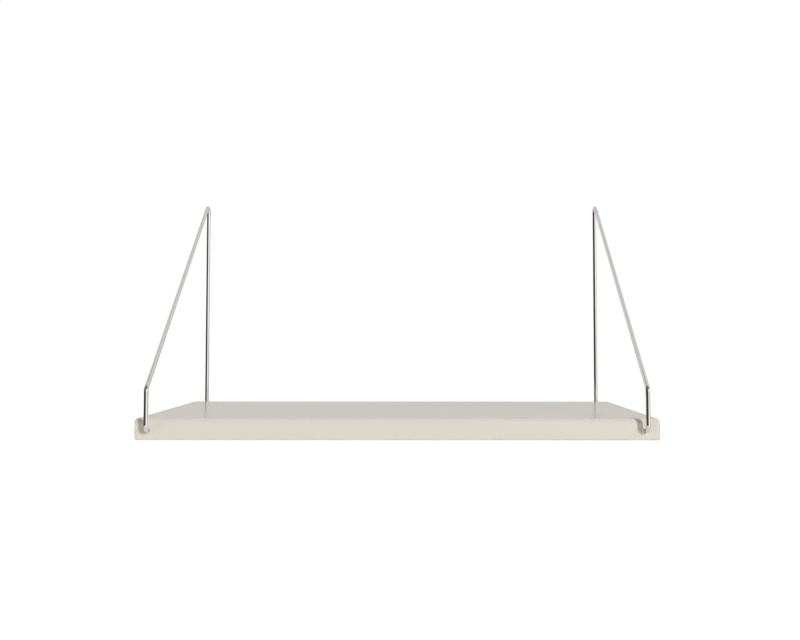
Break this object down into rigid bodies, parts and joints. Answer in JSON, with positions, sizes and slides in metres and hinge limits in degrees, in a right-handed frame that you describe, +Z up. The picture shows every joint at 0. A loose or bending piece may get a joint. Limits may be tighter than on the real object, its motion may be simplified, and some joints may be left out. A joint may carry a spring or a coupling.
{
  "type": "wall shelf",
  "caption": "Folded steel wall shelf with hemmed, turned-down lips, hung on two bent polished rod brackets over screw hooks in wall plugs.",
  "frame": {"origin": "centre of the tray's flat top face", "axes": "+X along the shelf to the right seen from the front, +Y towards the wall, +Z up"},
  "size_m": [0.6, 0.3176, 0.3087],
  "materials": {
    "powder_coat": "fine satin powder coat, warm grey cream",
    "polished_steel": "polished stainless rod",
    "cream_nylon": "satin moulded nylon",
    "plated_steel": "bright zinc plate",
    "white_nylon": "matt moulded nylon, white"
  },
  "bodies": {
    "shelf": {"shelf_tray": "powder_coat", "front_left_hole_liner": "cream_nylon", "rear_left_hole_liner": "cream_nylon", "left_wall_hook": "plated_steel", "left_wall_plug": "white_nylon", "front_right_hole_liner": "cream_nylon", "rear_right_hole_liner": "cream_nylon", "right_wall_hook": "plated_steel", "right_wall_plug": "white_nylon"},
    "left_bracket": {"left_bracket_rod": "polished_steel"},
    "right_bracket": {"right_bracket_rod": "polished_steel"}
  },
  "joints": [
    {"name": "left_bracket_fold", "type": "hinge", "parent": "shelf", "child": "left_bracket", "pos_m": [-0.28325, 0, -0.0138], "axis": [0, 1, 0], "range_deg": [0, 70]},
    {"name": "right_bracket_fold", "type": "hinge", "parent": "shelf", "child": "right_bracket", "pos_m": [0.28325, 0, -0.0138], "axis": [0, -1, 0], "range_deg": [0, 70]}
  ]
}
